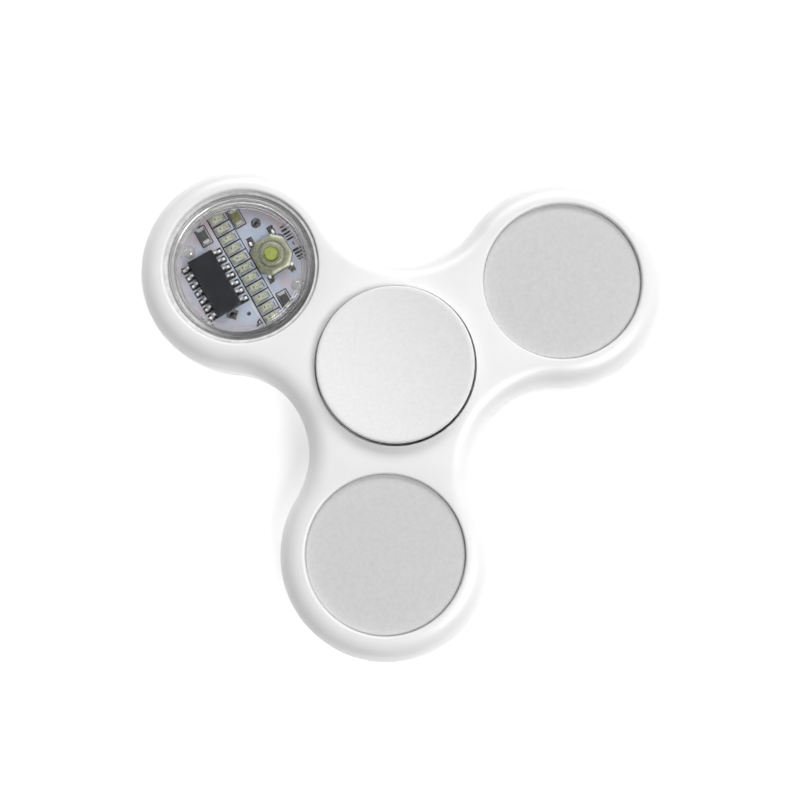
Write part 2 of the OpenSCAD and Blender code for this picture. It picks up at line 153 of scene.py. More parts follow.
class Build:
    """Gathers closed shapes on the board into one mesh, all sizes in board millimetres."""

    def __init__(self):
        self.verts, self.faces = [], []

    def prism(self, outline, low, high, inset=0.0):
        """An outline raised from low to high, its top drawn in by inset."""
        cx = sum(p[0] for p in outline) / len(outline)
        cy = sum(p[1] for p in outline) / len(outline)
        rings = [(low, 0.0), (high, 0.0)]
        if inset:
            rings = [(low, 0.0), (high - inset, 0.0), (high, inset)]
        start, n = len(self.verts), len(outline)
        for z, inward in rings:
            for x, y in outline:
                d = hypot(x - cx, y - cy)
                k = 1 - inward / d if d else 1
                self.verts.append(on_board(cx + (x - cx) * k, cy + (y - cy) * k, z))
        for r in range(len(rings) - 1):
            bridge(self.faces, start + r * n, start + (r + 1) * n, n)
        self.faces.append(tuple(start + i for i in reversed(range(n))))
        self.faces.append(tuple(start + (len(rings) - 1) * n + i for i in range(n)))

    def box(self, x, y, w, h, low, high, inset=0.0):
        """A block with its middle at x, y."""
        corners = [(x - w / 2, y - h / 2), (x + w / 2, y - h / 2),
                   (x + w / 2, y + h / 2), (x - w / 2, y + h / 2)]
        self.prism(corners, low, high, inset)

    def line(self, x0, y0, x1, y1, width, low, high):
        """A straight bar from one point to another."""
        length = hypot(x1 - x0, y1 - y0)
        nx, ny = -(y1 - y0) / length * width / 2, (x1 - x0) / length * width / 2
        corners = [(x0 + nx, y0 + ny), (x0 - nx, y0 - ny), (x1 - nx, y1 - ny), (x1 + nx, y1 + ny)]
        self.prism(corners, low, high)

    def dome(self, x, y, rx, ry, low, height, steps=20, levels=6):
        """A low rounded blob."""
        start = len(self.verts)
        for k in range(levels):
            t = pi / 2 * k / levels
            for i in range(steps):
                a = 2 * pi * i / steps
                spot = on_board(x + rx * cos(t) * cos(a), y + ry * cos(t) * sin(a), low + height * sin(t))
                self.verts.append(spot)
        top = len(self.verts)
        self.verts.append(on_board(x, y, low + height))
        for k in range(levels - 1):
            bridge(self.faces, start + k * steps, start + (k + 1) * steps, steps)
        last = start + (levels - 1) * steps
        for i in range(steps):
            self.faces.append((last + i, last + (i + 1) % steps, top))
        self.faces.append(tuple(start + i for i in reversed(range(steps))))

    def ring(self, x, y, r_in, r_out, low, high, steps=32):
        """A flat ring with its two upper edges rounded off."""
        rim = (high - low) * 0.6
        section = [(r_in, low), (r_in, high - rim), (r_in + rim, high), (r_out - rim, high),
                   (r_out, high - rim), (r_out, low)]
        points, faces = turn(section, steps, closed=True)
        self.faces += shifted(faces, len(self.verts))
        self.verts += [on_board(x + dx, y + dy, z) for dx, dy, z in points]

    def plate(self, outline, sides, centre, hole, steps=64):
        """A plate with a round hole: sides are (drawn in, height) steps up its outline,
        and hole is a list of (radius, height) from the plate's face down through the hole."""
        cx, cy = centre
        start = len(self.verts)
        nearly_zero = 1e-9

        def edge(a):
            """Distance from the centre to the outline in direction a."""
            distances = []
            for k in range(len(outline)):
                (x0, y0), (x1, y1) = outline[k], outline[(k + 1) % len(outline)]
                nx, ny = y1 - y0, x0 - x1
                facing = nx * cos(a) + ny * sin(a)
                if facing > nearly_zero:
                    distances.append((nx * (x0 - cx) + ny * (y0 - cy)) / facing)
            return min(distances)

        angles = sorted({round(2 * pi * i / steps, 6) for i in range(steps)}
                        | {round(atan2(y - cy, x - cx) % (2 * pi), 6) for x, y in outline})
        n = len(angles)
        rings = [[(edge(a) * (1 - inward / edge(0)), z) for a in angles] for inward, z in sides]
        rings += [[(r, z) for _ in angles] for r, z in hole]
        for ring in rings:
            for a, (r, z) in zip(angles, ring):
                self.verts.append(on_board(cx + r * cos(a), cy + r * sin(a), z))
        for k in range(len(rings)):
            bridge(self.faces, start + k * n, start + (k + 1) % len(rings) * n, n)

    def piece(self, name, material, slot):
        """The gathered shapes as one piece, which turns with the frame."""
        made = add_mesh(name, self.verts, self.faces, material, smooth_angle=35)
        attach(made, "rotor")
        return made


# ---- materials ----

# Most of a noise node's values lie in this span
NOISE_SPAN = (0.3, 0.7)


def new_material(name):
    """A material with its node tree, its shader and the coordinates its patterns follow."""
    material = bpy.data.materials.new(name)
    material.use_nodes = True
    tree = material.node_tree
    shader = next(n for n in tree.nodes if n.type == "BSDF_PRINCIPLED")
    where = tree.nodes.new("ShaderNodeTexCoord").outputs["Object"]
    return material, tree, shader, where


def noise(tree, where, size, detail):
    """Noise whose patches are about size millimetres across."""
    node = tree.nodes.new("ShaderNodeTexNoise")
    node.inputs["Scale"].default_value = 1 / (size * MM)
    node.inputs["Detail"].default_value = detail
    node.inputs["Roughness"].default_value = 0.55
    tree.links.new(where, node.inputs["Vector"])
    return node.outputs["Fac"]


def ramp(tree, value, stops):
    """A colour that follows a value, from (place, colour) stops."""
    node = tree.nodes.new("ShaderNodeValToRGB")
    while len(node.color_ramp.elements) < len(stops):
        node.color_ramp.elements.new(0.5)
    for element, (place, colour) in zip(node.color_ramp.elements, stops):
        element.position = place
        element.color = (*colour, 1)
    tree.links.new(value, node.inputs["Fac"])
    return node.outputs["Color"]


def map_range(tree, value, source, target=(0, 1)):
    """A value that runs over source, laid out over target instead and held at its ends."""
    node = tree.nodes.new("ShaderNodeMapRange")
    node.inputs["From Min"].default_value, node.inputs["From Max"].default_value = source
    node.inputs["To Min"].default_value, node.inputs["To Max"].default_value = target
    tree.links.new(value, node.inputs["Value"])
    return node.outputs["Result"]


def spread(tree, value, low, high):
    """Spreads a noise value over low to high."""
    return map_range(tree, value, NOISE_SPAN, (low, high))


def multiply(tree, first, second):
    node = tree.nodes.new("ShaderNodeMath")
    node.operation = "MULTIPLY"
    tree.links.new(first, node.inputs[0])
    tree.links.new(second, node.inputs[1])
    return node.outputs["Value"]


def vector_math(tree, vector, operation, other):
    """The outputs of a vector operation on a place and a fixed point or direction."""
    node = tree.nodes.new("ShaderNodeVectorMath")
    node.operation = operation
    node.inputs[1].default_value = other
    tree.links.new(vector, node.inputs[0])
    return node.outputs


def mix_colour(tree, share, plain, colour):
    """The plain colour, turned into the other one by a share from 0 to 1."""
    node = tree.nodes.new("ShaderNodeMix")
    node.data_type = "RGBA"
    share_in, plain_in, colour_in, colour_out = 0, 6, 7, 2
    node.inputs[colour_in].default_value = (*colour, 1)
    tree.links.new(share, node.inputs[share_in])
    tree.links.new(plain, node.inputs[plain_in])
    return node.outputs[colour_out]


def add_bump(tree, shader, height, depth):
    """Raises the surface by a height value, up to depth micrometres."""
    node = tree.nodes.new("ShaderNodeBump")
    node.inputs["Strength"].default_value = 1.0
    node.inputs["Distance"].default_value = depth * MICROMETRE
    tree.links.new(height, node.inputs["Height"])
    tree.links.new(node.outputs["Normal"], shader.inputs["Normal"])


def surface(name, dark, light, patch, rough, grain, grain_depth, metallic=0.0, **constants):
    """A material with patchy colour, varied roughness and a fine grain. patch and grain are sizes
    in millimetres, grain_depth is in micrometres, and constants are values for other sockets."""
    material, tree, shader, where = new_material(name)
    patches = noise(tree, where, patch, detail=4.0)
    tree.links.new(ramp(tree, patches, list(zip(NOISE_SPAN, (dark, light)))), shader.inputs["Base Color"])
    fine = noise(tree, where, grain, detail=2.0)
    tree.links.new(spread(tree, fine, *rough), shader.inputs["Roughness"])
    add_bump(tree, shader, fine, grain_depth)
    shader.inputs["Metallic"].default_value = metallic
    for socket, value in constants.items():
        shader.inputs[socket.replace("_", " ")].default_value = value
    return material


def grey(value):
    return (value, value, value)


MOULDED_WHITE = surface("moulded_white", grey(0.875), grey(0.905),
                        patch=9, rough=(0.30, 0.38), grain=0.35, grain_depth=3.0,
                        Subsurface_Weight=0.1, Subsurface_Scale=0.0015, Subsurface_Radius=(1, 1, 1),
                        Coat_Weight=0.15, Coat_Roughness=0.2)
CAP_WHITE = surface("satin_white_cap", (0.80, 0.80, 0.802), (0.85, 0.85, 0.848),
                    patch=0.5, rough=(0.45, 0.60), grain=0.16, grain_depth=9.0)
COVER_GREY = surface("matt_grey_cover", (0.60, 0.60, 0.605), (0.655, 0.655, 0.653),
                     patch=0.5, rough=(0.6, 0.75), grain=0.22, grain_depth=5.0)
BEARING_STEEL = surface("ground_steel", grey(0.55), grey(0.66),
                        patch=1.5, rough=(0.18, 0.30), grain=0.12, grain_depth=1.0, metallic=1.0)
BALL_STEEL = surface("polished_steel", grey(0.70), grey(0.76),
                     patch=2.0, rough=(0.05, 0.10), grain=0.3, grain_depth=0.3, metallic=1.0)
CAGE_STEEL = surface("pressed_steel", (0.50, 0.49, 0.47), (0.60, 0.59, 0.57),
                     patch=0.8, rough=(0.28, 0.4), grain=0.15, grain_depth=2.0, metallic=1.0)
WEIGHT_STEEL = surface("turned_steel", grey(0.42), grey(0.52),
                       patch=1.2, rough=(0.3, 0.42), grain=0.2, grain_depth=3.0, metallic=1.0)
CELL_STEEL = surface("nickel_steel", grey(0.62), grey(0.70),
                     patch=1.5, rough=(0.16, 0.28), grain=0.3, grain_depth=1.5, metallic=1.0)
BRASS = surface("brass", (0.62, 0.45, 0.18), (0.72, 0.54, 0.24),
                patch=1.0, rough=(0.22, 0.35), grain=0.3, grain_depth=1.5, metallic=1.0)
TINNED = surface("tinned_metal", (0.62, 0.61, 0.58), (0.80, 0.79, 0.76),
                 patch=0.4, rough=(0.18, 0.34), grain=0.1, grain_depth=3.0, metallic=1.0)
PIN_METAL = surface("pin_metal", grey(0.40), grey(0.62),
                    patch=0.3, rough=(0.3, 0.45), grain=0.1, grain_depth=3.0, metallic=0.5)
# Painted highlight: near-white and not metallic, so that the beads read as glints of tin
SOLDER_GLINT = surface("solder_with_painted_glint", grey(0.93), grey(0.99),
                 patch=0.25, rough=(0.2, 0.3), grain=0.1, grain_depth=3.0)
EPOXY = surface("chip_epoxy", (0.004, 0.005, 0.008), (0.010, 0.010, 0.015),
                patch=0.5, rough=(0.42, 0.58), grain=0.07, grain_depth=4.0)
SWITCH_METAL = surface("plated_switch_cover", (0.30, 0.31, 0.22), (0.50, 0.51, 0.40),
                       patch=0.4, rough=(0.25, 0.4), grain=0.12, grain_depth=6.0, metallic=0.55)
SWITCH_BLACK = surface("switch_base", grey(0.03), grey(0.05),
                       patch=0.5, rough=(0.4, 0.5), grain=0.1, grain_depth=3.0)
DOME_STEEL = surface("dome_steel", grey(0.6), grey(0.7),
                     patch=0.8, rough=(0.15, 0.25), grain=0.2, grain_depth=1.0, metallic=1.0)
BUTTON = surface("button_yellow_green", (0.34, 0.40, 0.07), (0.55, 0.62, 0.20),
                 patch=0.3, rough=(0.3, 0.42), grain=0.12, grain_depth=4.0)
LAMP_BODY = surface("lamp_body", (0.20, 0.21, 0.15), (0.52, 0.54, 0.45),
                    patch=0.28, rough=(0.3, 0.42), grain=0.12, grain_depth=3.0)
LAMP_WINDOW = surface("lamp_window", (0.30, 0.32, 0.26), (0.66, 0.68, 0.58),
                      patch=0.18, rough=(0.15, 0.3), grain=0.1, grain_depth=6.0)
RESISTOR = surface("resistor_body", (0.03, 0.032, 0.03), (0.12, 0.125, 0.12),
                   patch=0.3, rough=(0.25, 0.4), grain=0.1, grain_depth=2.0)
CAPACITOR = surface("capacitor_body", (0.12, 0.12, 0.05), (0.22, 0.22, 0.12),
                    patch=0.4, rough=(0.3, 0.45), grain=0.1, grain_depth=3.0)
BLACK_INK_AND_SHADE = surface("black_ink_and_painted_shade", (0.012, 0.012, 0.016), (0.03, 0.03, 0.034),
                    patch=0.3, rough=(0.5, 0.65), grain=0.08, grain_depth=3.0)
INK_WHITE = surface("white_ink", grey(0.52), grey(0.66),
                    patch=0.4, rough=(0.5, 0.65), grain=0.08, grain_depth=3.0)


def board_material():
    """Pale lavender solder mask, with warmer patches towards the rim."""
    material, tree, shader, where = new_material("board_mask")
    mask = ramp(tree, noise(tree, where, size=3.2, detail=2.0),
                [(0.36, (0.40, 0.46, 0.56)), (0.52, (0.45, 0.49, 0.58)), (0.66, (0.46, 0.43, 0.48))])
    centre = (MODULE.x, MODULE.y, BOARD_TOP)
    distance = vector_math(tree, where, "DISTANCE", centre)["Value"]
    warm_from, warm_to = 6.6 * MM, 8.8 * MM
    edge = map_range(tree, distance, (warm_from, warm_to))
    warm = multiply(tree, edge, spread(tree, noise(tree, where, size=4.5, detail=1.0), 0.5, 1.0))
    tree.links.new(mix_colour(tree, warm, mask, (0.36, 0.30, 0.31)), shader.inputs["Base Color"])
    weave = noise(tree, where, size=0.25, detail=2.0)
    tree.links.new(spread(tree, weave, 0.28, 0.42), shader.inputs["Roughness"])
    add_bump(tree, shader, weave, depth=3.0)
    return material


def clear_material(name, tint, rough, clarity, metallic=0.0):
    """Clear moulded plastic with a faint flow pattern in its tint, gloss and surface."""
    material, tree, shader, where = new_material(name)
    flow = noise(tree, where, size=2.5, detail=2.0)
    darker = tuple(t * 0.97 for t in tint)
    tree.links.new(ramp(tree, flow, list(zip(NOISE_SPAN, (darker, tint)))), shader.inputs["Base Color"])
    tree.links.new(spread(tree, flow, rough * 0.7, rough * 1.3), shader.inputs["Roughness"])
    add_bump(tree, shader, flow, depth=6.0)
    shader.inputs["Transmission Weight"].default_value = clarity
    shader.inputs["Metallic"].default_value = metallic
    shader.inputs["IOR"].default_value = ACRYLIC_IOR
    return material


def paint_shade_one_side(material, towards, start, full, colour):
    """Paints shade into a material of the light module: darkens its colour on the side that faces
    towards, an angle. The painted shade begins at start from the module's middle and is complete at full."""
    tree = material.node_tree
    shader = next(n for n in tree.nodes if n.type == "BSDF_PRINCIPLED")
    plain = shader.inputs["Base Color"].links[0].from_socket
    where = tree.nodes.new("ShaderNodeTexCoord").outputs["Object"]
    offset = vector_math(tree, where, "SUBTRACT", (MODULE.x, MODULE.y, 0))["Vector"]
    along = vector_math(tree, offset, "DOT_PRODUCT", (cos(towards), sin(towards), 0))["Value"]
    share = map_range(tree, along, (start, full))
    tree.links.new(mix_colour(tree, share, plain, colour), shader.inputs["Base Color"])


BOARD = board_material()

ACRYLIC_IOR = 1.49
CLEAR = clear_material("clear_lens", grey(0.72), rough=0.02, clarity=1.0)
CLEAR_SHELL = clear_material("clear_shell", grey(0.95), rough=0.05, clarity=0.75, metallic=0.2)
CLEAR_RING = clear_material("clear_ring", grey(0.92), rough=0.12, clarity=0.92, metallic=0.22)

# The ring's colour is darkened towards its lower right: a painted shade, which the lights here don't give
SHADE_TOWARDS = radians(-56)
paint_shade_one_side(CLEAR_RING, SHADE_TOWARDS, start=3.5 * MM, full=8.5 * MM, colour=grey(0.42))

TINNED_ENDS = surface("tinned_ends", grey(0.30), grey(0.52),
                      patch=0.35, rough=(0.3, 0.5), grain=0.15, grain_depth=4.0)
LAMP_DIE = surface("lamp_die", (0.09, 0.10, 0.07), (0.16, 0.17, 0.12),
                   patch=0.3, rough=(0.3, 0.5), grain=0.1, grain_depth=4.0)
BARE_LAMINATE = surface("bare_laminate", (0.10, 0.09, 0.08), (0.22, 0.19, 0.17),
                        patch=0.5, rough=(0.4, 0.6), grain=0.1, grain_depth=4.0)
# Painted shade: the clear ring's underside is dark, standing in for the shade of the pocket under it
UNDERSIDE_SHADE = surface("painted_underside_shade", grey(0.05), grey(0.16),
               patch=0.6, rough=(0.4, 0.6), grain=0.2, grain_depth=5.0)
FROSTED_RIM = surface("frosted_rim", grey(0.62), grey(0.86),
                      patch=0.8, rough=(0.3, 0.5), grain=0.2, grain_depth=6.0)

LOOKS = {
    "cap_plastic": CAP_WHITE, "cover_plastic": COVER_GREY, "bearing_steel": BEARING_STEEL,
    "ball_steel": BALL_STEEL, "cage_steel": CAGE_STEEL, "weight_steel": WEIGHT_STEEL,
    "clear_plastic": CLEAR, "board_laminate": BOARD, "cell_steel": CELL_STEEL,
    "contact_brass": BRASS, "lamp_phosphor": LAMP_BODY, "chip_epoxy": EPOXY,
    "tinned_metal": TINNED, "switch_base_plastic": SWITCH_BLACK, "switch_cover_metal": SWITCH_METAL,
    "dome_steel": DOME_STEEL, "plunger_plastic": BUTTON, "resistor_ceramic": RESISTOR,
    "capacitor_ceramic": CAPACITOR, "frame_plastic": MOULDED_WHITE,
}
for node in nodes.values():
    for slot in node.material_slots:
        slot.material = LOOKS[slot.material.name.split(".")[0]]
nodes["module_cup"].material_slots[0].material = CLEAR_SHELL
nodes["chip_pins"].material_slots[0].material = PIN_METAL


# ---- the moulded frame, with tangent curves and softened edges ----

EDGE_R = 3.4 * MM
WAIST_R = 11.7 * MM
SEAT_R = 10.97 * MM
COUNTERBORE_R = 11.2 * MM
SEAT_ROUND = 0.3 * MM
COUNTERBORE_ROUND = 0.12 * MM
BEARING_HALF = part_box("bearing_outer_ring")[1].z
LOBE_STEPS, WAIST_STEPS, ROUND_STEPS, HOLE_STEPS = 132, 44, 14, 160

# Each waist is an arc that runs on smoothly from the two lobes beside it. waist_centre is its
# distance from the middle, and lobe_half and waist_half are half the arcs' angles.
reach = LOBE_R + WAIST_R
waist_centre = (LOBE_PITCH + sqrt(4 * reach ** 2 - 3 * LOBE_PITCH ** 2)) / 2
lobe_half = pi - asin(waist_centre * sin(pi / 3) / reach)
waist_half = lobe_half - pi / 3


def outline(inward):
    """The frame's outline drawn in by a distance, as points in the row frame's x and y."""
    points = []
    for lobe in sorted(LOBES, key=lambda c: atan2(c.y, c.x)):
        facing = atan2(lobe.y, lobe.x)
        for i in range(LOBE_STEPS):
            a = facing + lobe_half * (2 * i / LOBE_STEPS - 1)
            points.append((lobe.x + (LOBE_R - inward) * cos(a), lobe.y + (LOBE_R - inward) * sin(a)))
        valley = facing + pi / 3
        cx, cy = waist_centre * cos(valley), waist_centre * sin(valley)
        for i in range(WAIST_STEPS):
            a = valley + pi + waist_half * (1 - 2 * i / WAIST_STEPS)
            points.append((cx + (WAIST_R + inward) * cos(a), cy + (WAIST_R + inward) * sin(a)))
    return points


def mouth(radius, rounding, steps):
    """The rounded upper edge of a hole, as (radius, height) points from the face down."""
    turns = [pi / 2 * k / steps for k in range(steps + 1)]
    return [(radius + rounding * (1 - sin(t)), HALF_THICKNESS - rounding * (1 - cos(t))) for t in turns]


def mirrored(section):
    """A section from the top face to the middle, carried on down to the lower face."""
    return section + [(r, -z) for r, z in reversed(section)]


def face_triangles(verts, face_edges, holes):
    """Triangles of one flat face: inside its outline, without its holes."""
    inside_constraints, nearest = 1, 1e-6
    used = sorted({i for e in face_edges for i in e})
    index = {v: k for k, v in enumerate(used)}
    flat = [Vector(verts[v][:2]) / MM for v in used]
    edges = [(index[a], index[b]) for a, b in face_edges]
    points, _, triangles, origins, *_ = delaunay_2d_cdt(flat, edges, [], inside_constraints, nearest)
    back = [used[o[0]] for o in origins]
    kept = []
    for triangle in triangles:
        mid = sum((Vector(points[i]) for i in triangle), Vector((0, 0))) / 3 * MM
        if not any((mid - c).length < r for c, r in holes):
            kept.append(tuple(back[i] for i in triangle))
    return kept


def build_frame():
    """The frame: its rounded side, level by level, then its holes, then its two flat faces."""
    verts, faces = [], []
    n = 3 * (LOBE_STEPS + WAIST_STEPS)
    turns = [pi / 2 * k / ROUND_STEPS for k in range(ROUND_STEPS + 1)]
    upper = [(EDGE_R * (1 - cos(t)), HALF_THICKNESS - EDGE_R + EDGE_R * sin(t)) for t in turns]
    levels = [(d, -z) for d, z in reversed(upper)] + upper
    for inward, z in levels:
        verts += [(x, y, z) for x, y in outline(inward)]
    for k in range(len(levels) - 1):
        bridge(faces, k * n, (k + 1) * n, n)
    rims = {-1: list(range(n)), 1: list(range((len(levels) - 1) * n, len(levels) * n))}
    edges = {side: [(rim[i], rim[(i + 1) % n]) for i in range(n)] for side, rim in rims.items()}

    seat = mirrored(mouth(SEAT_R, SEAT_ROUND, steps=4))
    counterbore = mouth(COUNTERBORE_R, COUNTERBORE_ROUND, steps=5)
    counterbore = mirrored(counterbore + [(COUNTERBORE_R, BEARING_HALF), (SEAT_R, BEARING_HALF)])
    holes = []
    for centre, section in [(c, seat) for c in LOBES] + [(Vector((0, 0)), counterbore)]:
        m, start = HOLE_STEPS, len(verts)
        angles = [2 * pi * i / m for i in range(m)]
        for r, z in section:
            verts += [(centre.x + r * cos(a), centre.y + r * sin(a), z) for a in angles]
        for k in range(len(section) - 1):
            bridge(faces, start + k * m, start + (k + 1) * m, m)
        ends = {1: start, -1: start + (len(section) - 1) * m}
        for side, first in ends.items():
            edges[side] += [(first + i, first + (i + 1) % m) for i in range(m)]
        holes.append((centre, section[0][0]))
    for face_edges in edges.values():
        faces += face_triangles(verts, face_edges, holes)
    return add_mesh("frame_moulding", verts, faces, MOULDED_WHITE)


moulding = build_frame()
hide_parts("frame")
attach(moulding, "rotor")


# ---- the light module's clear ring, with its groove and frosted rim, and its pressing cover ----

ring_low, ring_high = (v.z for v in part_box("module_bezel"))
RING_R = (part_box("module_bezel")[1].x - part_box("module_bezel")[0].x) / 2 + 0.03 * MM
INSIDE_R = RING_R - 1.5 * MM
RING_STEPS = 360

# The ring's section, in millimetres; the groove's two sides are measured inward from the rim
FROST_WIDTH, FOOT_WIDTH, RING_WIDTH, LEDGE_HEIGHT = 0.5, 1.12, 1.62, 0.65
GROOVE_OUT, GROOVE_IN, GROOVE_DEPTH = 0.50, 1.40, 0.40
TEETH, TOOTH_DROP, TOOTH_STEEP = 3, 0.10, 0.03
SOFT_EDGE = 0.06

# The pressing cover
COVER_THICKNESS = 0.8 * MM
FLANGE_HEIGHT, FLANGE_WIDTH = 0.3 * MM, 0.5 * MM
COVER_CHAMFER = 0.1 * MM
FINE_GROOVE_DEPTH = 0.07 * MM
POST_R = 0.93 * MM


def ring_section():
    """Half section of the ring: its frosted rim, its groove with a toothed inner side, its ledge."""
    tall = (ring_high - ring_low) / MM
    foot = [(FOOT_WIDTH, 0), (FROST_WIDTH, 0), (0, 0)]
    rim = [(0, tall - 0.25), (0.08, tall - 0.08), (0.22, tall), (GROOVE_OUT - SOFT_EDGE, tall),
           (GROOVE_OUT, tall - SOFT_EDGE), (GROOVE_OUT + TOOTH_STEEP, tall - GROOVE_DEPTH)]
    width = (GROOVE_IN - GROOVE_OUT - TOOTH_STEEP) / TEETH
    rise = (GROOVE_DEPTH + (TEETH - 1) * TOOTH_DROP) / TEETH
    teeth = []
    for k in range(1, TEETH):
        d = GROOVE_OUT + TOOTH_STEEP + k * width
        z = tall - GROOVE_DEPTH + k * rise - (k - 1) * TOOTH_DROP
        teeth += [(d - TOOTH_STEEP, z), (d, z - TOOTH_DROP)]
    inner = [(GROOVE_IN, tall), (1.54, tall), (RING_WIDTH, tall - 0.1), (RING_WIDTH, LEDGE_HEIGHT),
             (FOOT_WIDTH, LEDGE_HEIGHT)]
    return [(RING_R - d * MM, ring_low + z * MM) for d, z in foot + rim + teeth + inner]


def turned_at(centre, section, steps, closed):
    """A turned section whose axis stands at centre, in the row frame."""
    points, faces = turn(section, steps, closed)
    return [(centre.x + x, centre.y + y, z) for x, y, z in points], faces


def build_ring():
    """The clear ring: frosted at its rim, painted dark on its underside as a painted shade of the pocket
    under it, and of the cover's own plastic on its inner faces."""
    verts, faces = turned_at(MODULE, ring_section(), RING_STEPS, closed=True)
    made = add_mesh("clear_ring", verts, faces, CLEAR_RING)
    for material in (FROSTED_RIM, UNDERSIDE_SHADE, CLEAR):
        made.data.materials.append(material)
    frosted, underside_shade, inside = 1, 2, 3
    for face in made.data.polygons:
        r = hypot(face.center.x - MODULE.x, face.center.y - MODULE.y)
        if r > RING_R - FROST_WIDTH * MM:
            face.material_index = frosted
        elif face.center.z < ring_low + 0.01 * MM:
            face.material_index = underside_shade
        elif r < INSIDE_R:
            face.material_index = inside
    return made


def build_lens():
    """The pressing cover: a clear disc with two fine grooves near its rim, and the post under it
    that stands above the button."""
    low, high = (v.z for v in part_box("module_lens"))
    flange_r = (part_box("module_lens")[1].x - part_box("module_lens")[0].x) / 2
    foot = high - COVER_THICKNESS
    flange_top = foot + FLANGE_HEIGHT
    face_r = flange_r - FLANGE_WIDTH
    section = [(0, foot), (flange_r, foot), (flange_r, flange_top), (face_r, flange_top),
               (face_r, high - COVER_CHAMFER), (face_r - COVER_CHAMFER, high)]
    groove = high - FINE_GROOVE_DEPTH
    for outer, deepest, inner in ((0.28, 0.34, 0.5), (0.62, 0.68, 0.85)):
        section += [(face_r - outer * MM, high), (face_r - deepest * MM, groove), (face_r - inner * MM, high)]
    section += [(0, high)]
    post_top = foot - 0.01 * MM
    post = [(0, low), (POST_R, low), (POST_R, post_top), (0, post_top)]
    verts, faces = turned_at(MODULE, section, RING_STEPS, closed=False)
    post_verts, post_faces = turned_at(middle("switch_plunger"), post, RING_STEPS, closed=False)
    faces += shifted(post_faces, len(verts))
    return add_mesh("clear_cover", verts + post_verts, faces, CLEAR)


clear_cover = build_lens()
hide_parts("module_lens")
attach(clear_cover, "lens")

clear_ring = build_ring()
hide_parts("module_bezel")
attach(clear_ring, "rotor")


# ---- the circuit board's printing, pads and solder, with painted shade and glints, in board millimetres ----

INK_HEIGHT = 0.02
PAD_HEIGHT = 0.03
PIN_PITCH = 1.27
PINS_A_SIDE = 7

chip_x, chip_y = board_spot(middle("chip_body"))
switch_x, switch_y = board_spot(middle("switch_cover"))
lamp_spots = [board_spot(middle(n)) for n in lamps]
lamp_pitch = (lamp_spots[-1][1] - lamp_spots[0][1]) / (len(lamps) - 1)
row_x = lamp_spots[0][0]
row_low, row_high = lamp_spots[0][1] - lamp_pitch / 2, lamp_spots[-1][1] + lamp_pitch / 2
passive_spots = [board_spot(middle(n)) for n in ("resistor_1", "resistor_2", "capacitor")]
pin_rows = [chip_y + (k - PINS_A_SIDE // 2) * PIN_PITCH for k in range(PINS_A_SIDE)]
pin_spots = [(side, y) for side in (-1, 1) for y in pin_rows]
upper_hole, lower_hole, via = (4.7, 5.05), (-4.45, -4.4), (-2.35, -5.6)

# The long printed sides of the row of lamps
ROW_LEFT, ROW_RIGHT = row_x - 1.2, row_x + 1.55

# Lines of black ink, each from one end to the other, with its width
INK_LINES = [
    # the two long sides of the row of lamps
    (ROW_LEFT, row_low + 0.1, ROW_LEFT, row_high - 0.1, 0.17),
    (ROW_RIGHT, row_low + 0.1, ROW_RIGHT, row_high - 0.4, 0.12),
    # the switch's outline, broken where its legs come out
    (1.86, -1.45, 1.86, 1.75, 0.17), (1.86, 1.75, 2.25, 2.2, 0.14), (1.86, -1.45, 2.45, -1.9, 0.14),
    (7.05, -0.7, 7.05, 1.75, 0.15), (7.05, 1.75, 6.6, 2.2, 0.15), (7.1, -1.1, 6.7, -1.5, 0.2),
    # plain bars beside the switch
    (7.25, 2.75, 8.2, 2.75, 0.22), (7.2, 2.2, 8.3, 2.2, 0.34), (7.2, 1.65, 8.3, 1.65, 0.3),
    (7.3, 1.2, 8.2, 1.2, 0.2), (7.3, 0.75, 8.25, 0.75, 0.28), (7.85, -0.35, 7.85, 0.2, 0.18),
    (7.2, -1.0, 8.35, -1.0, 0.36), (7.25, -1.5, 8.3, -1.5, 0.32), (7.3, -2.0, 8.15, -2.0, 0.3),
    (7.35, -2.4, 8.0, -2.4, 0.2),
    # the arrow at the end of the row
    (-2.25, -7.5, -1.4, -7.0, 0.18), (-1.4, -7.0, -1.4, -8.05, 0.18), (-1.4, -8.05, -2.25, -7.5, 0.18),
]


def add_black_print_and_shade():
    """Black print: the lines above, the lamps' cells, the boxes of the small parts; and black patches
    under the chip's pins, a painted shade.
    """
    ink = Build()
    for x0, y0, x1, y1, width in INK_LINES:
        ink.line(x0, y0, x1, y1, width, 0, INK_HEIGHT)
    tick_x, tick_from, tick_to = row_x + 1.16, 0.3, 1.15
    for k in range(1, len(lamps)):
        y = row_low + k * lamp_pitch
        ink.line(ROW_LEFT, y, ROW_RIGHT, y, 0.19, 0, INK_HEIGHT)
        ink.line(tick_x, y + tick_from, tick_x, y + tick_to, 0.11, 0, INK_HEIGHT)
    half_w, half_h = 0.8, 1.4
    for x, y in passive_spots:
        for side in (-1, 1):
            edge_x, edge_y = x + side * half_w, y + side * half_h
            ink.line(edge_x, y - half_h, edge_x, y + half_h, 0.14, 0, INK_HEIGHT)
            ink.line(x - half_w, edge_y, x + half_w, edge_y, 0.15, 0, INK_HEIGHT)
    # Painted shade: a black patch under each of the chip's pins
    shade_out, shade_length, shade_width = 2.5, 1.3, 0.98
    for side, y in pin_spots:
        ink.box(chip_x + side * shade_out, y, shade_length, shade_width, 0, INK_HEIGHT)
    ink.piece("board_black_print_and_shade", BLACK_INK_AND_SHADE, "board_laminate")


def add_white_print():
    """The white bars along the two sides of the row of lamps."""
    bars = Build()
    bars.box(row_x - 1.55, -2.0, w=0.2, h=12.4, low=0, high=INK_HEIGHT)
    bars.box(row_x + 1.75, -5.2, w=0.15, h=6.0, low=0, high=INK_HEIGHT)
    bars.piece("board_white_print", INK_WHITE, "board_laminate")


add_black_print_and_shade()
add_white_print()

